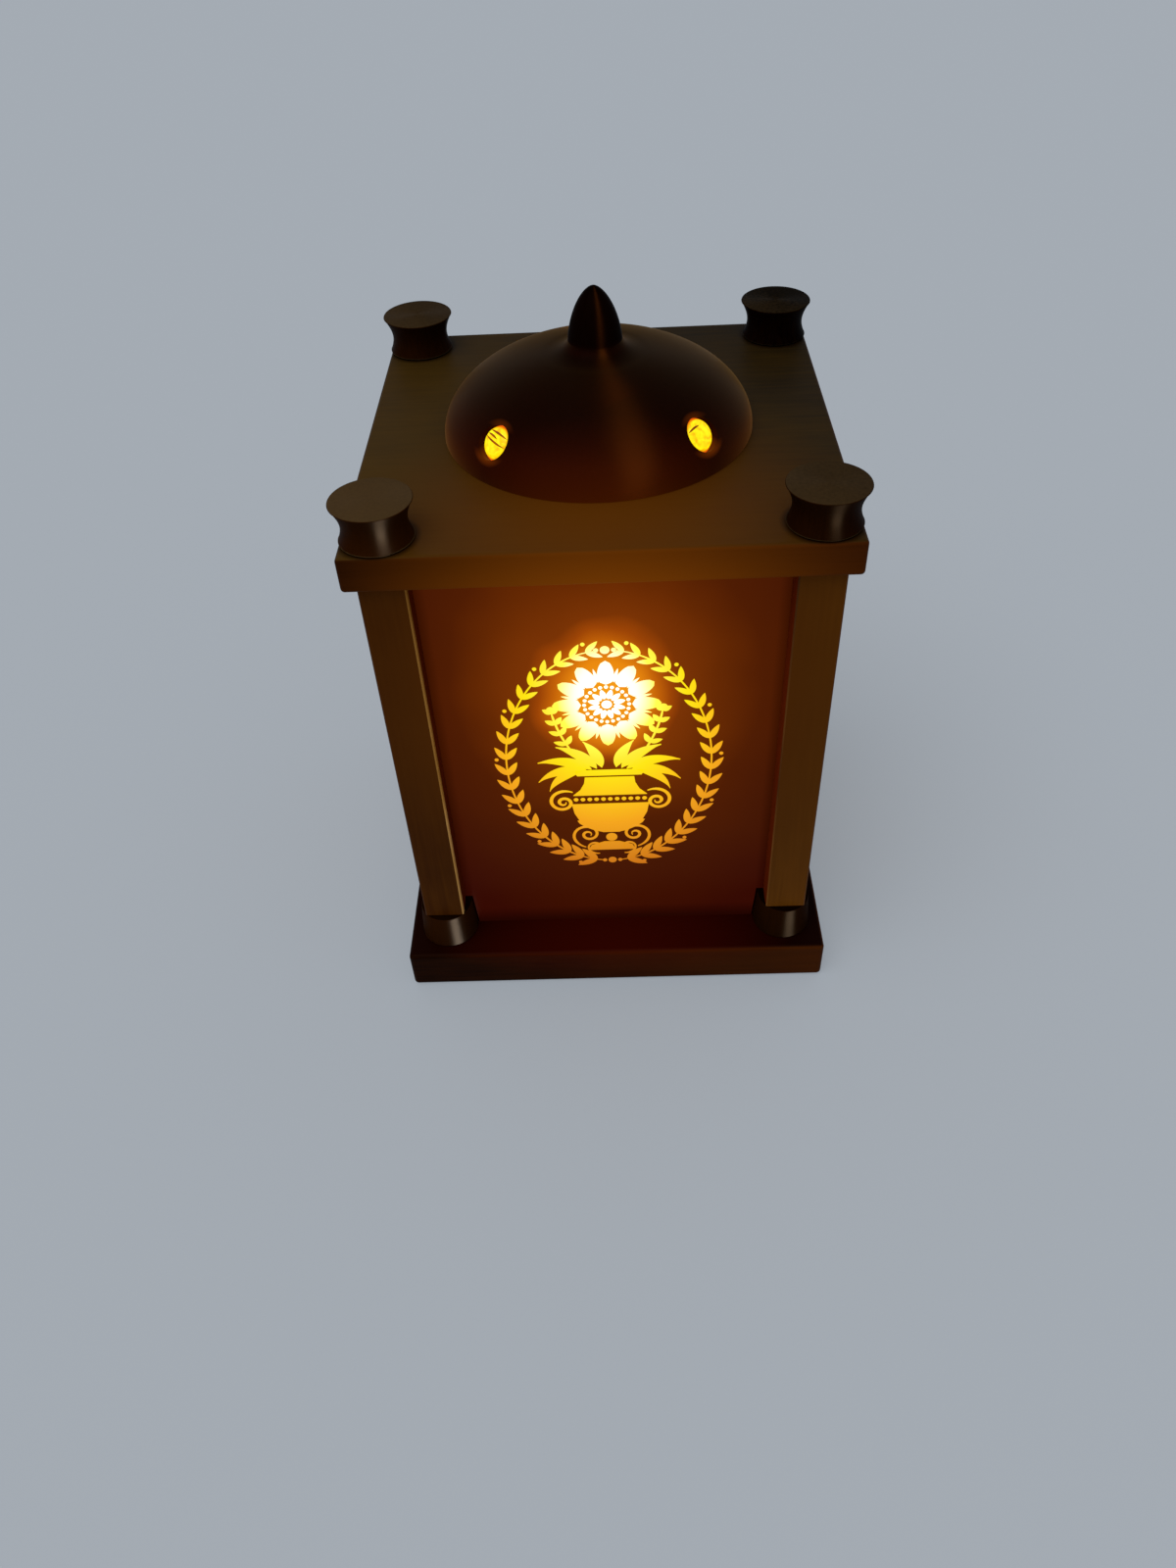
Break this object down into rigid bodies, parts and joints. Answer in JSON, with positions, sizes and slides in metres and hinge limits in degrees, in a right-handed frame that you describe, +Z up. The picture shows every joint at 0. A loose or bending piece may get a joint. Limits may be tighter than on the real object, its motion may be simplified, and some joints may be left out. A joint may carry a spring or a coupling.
{
  "type": "lantern",
  "caption": "Square dark wooden table lantern with corner posts, glowing amber panels, a lift-off bell dome with a finial, and a battery LED candle inside.",
  "frame": {"origin": "centre of the base's underside, on the surface the lantern stands on", "axes": "+Z up; -Y is the front panel that faces the viewer; +X to the viewer's right"},
  "size_m": [0.174, 0.174, 0.2603],
  "materials": {
    "stained_wood": "dark bronze-brown satin paint or stain, no grain showing",
    "beech": "raw turned dowel",
    "zinc_steel": "zinc plated",
    "amber_sheet": "dark amber translucent sheet, lit from behind",
    "amber_film": "bright amber translucent film, lit from behind",
    "ivory_plastic": "waxy moulded plastic",
    "black_plastic": "fine moulded texture",
    "battery_sleeve": "shrink sleeve",
    "circuit_board": "solder mask",
    "led_resin": "clear warm resin",
    "pale_plastic": "moulded"
  },
  "bodies": {
    "lantern": {"base_plate": "stained_wood", "roof_plate": "stained_wood", "collar_1": "stained_wood", "post_1": "stained_wood", "spool_1": "stained_wood", "dowel_1": "beech", "base_screw_1": "zinc_steel", "collar_2": "stained_wood", "post_2": "stained_wood", "spool_2": "stained_wood", "dowel_2": "beech", "base_screw_2": "zinc_steel", "collar_3": "stained_wood", "post_3": "stained_wood", "spool_3": "stained_wood", "dowel_3": "beech", "base_screw_3": "zinc_steel", "collar_4": "stained_wood", "post_4": "stained_wood", "spool_4": "stained_wood", "dowel_4": "beech", "base_screw_4": "zinc_steel", "front_panel": "amber_sheet", "right_panel": "amber_sheet", "back_panel": "amber_sheet", "left_panel": "amber_sheet"},
    "cap": {"dome_cap": "stained_wood", "dome_ring": "stained_wood", "vent_film_1": "amber_film", "vent_film_2": "amber_film", "vent_film_3": "amber_film", "vent_film_4": "amber_film"},
    "candle": {"candle_shell": "ivory_plastic", "candle_bottom": "black_plastic", "battery_cover": "black_plastic", "cover_screw": "zinc_steel", "battery_box": "black_plastic", "battery_1": "battery_sleeve", "battery_2": "battery_sleeve", "battery_3": "battery_sleeve", "top_contact": "zinc_steel", "spring_contact": "zinc_steel", "circuit_board": "circuit_board", "led": "led_resin", "flame": "ivory_plastic", "switch_housing": "black_plastic"},
    "switch": {"switch_knob": "pale_plastic"}
  },
  "joints": [
    {"name": "cap_lift", "type": "slide", "parent": "lantern", "child": "cap", "axis": [0, 0, 1], "range_m": [0, 0.24]},
    {"name": "candle_lift", "type": "slide", "parent": "lantern", "child": "candle", "axis": [0, 0, 1], "range_m": [0, 0.24]},
    {"name": "switch_slide", "type": "slide", "parent": "candle", "child": "switch", "axis": [1, 0, 0], "range_m": [0, 0.003]}
  ],
  "couplings": [
    {"joint": "candle_lift", "follows": "cap_lift", "ratio": 1}
  ]
}
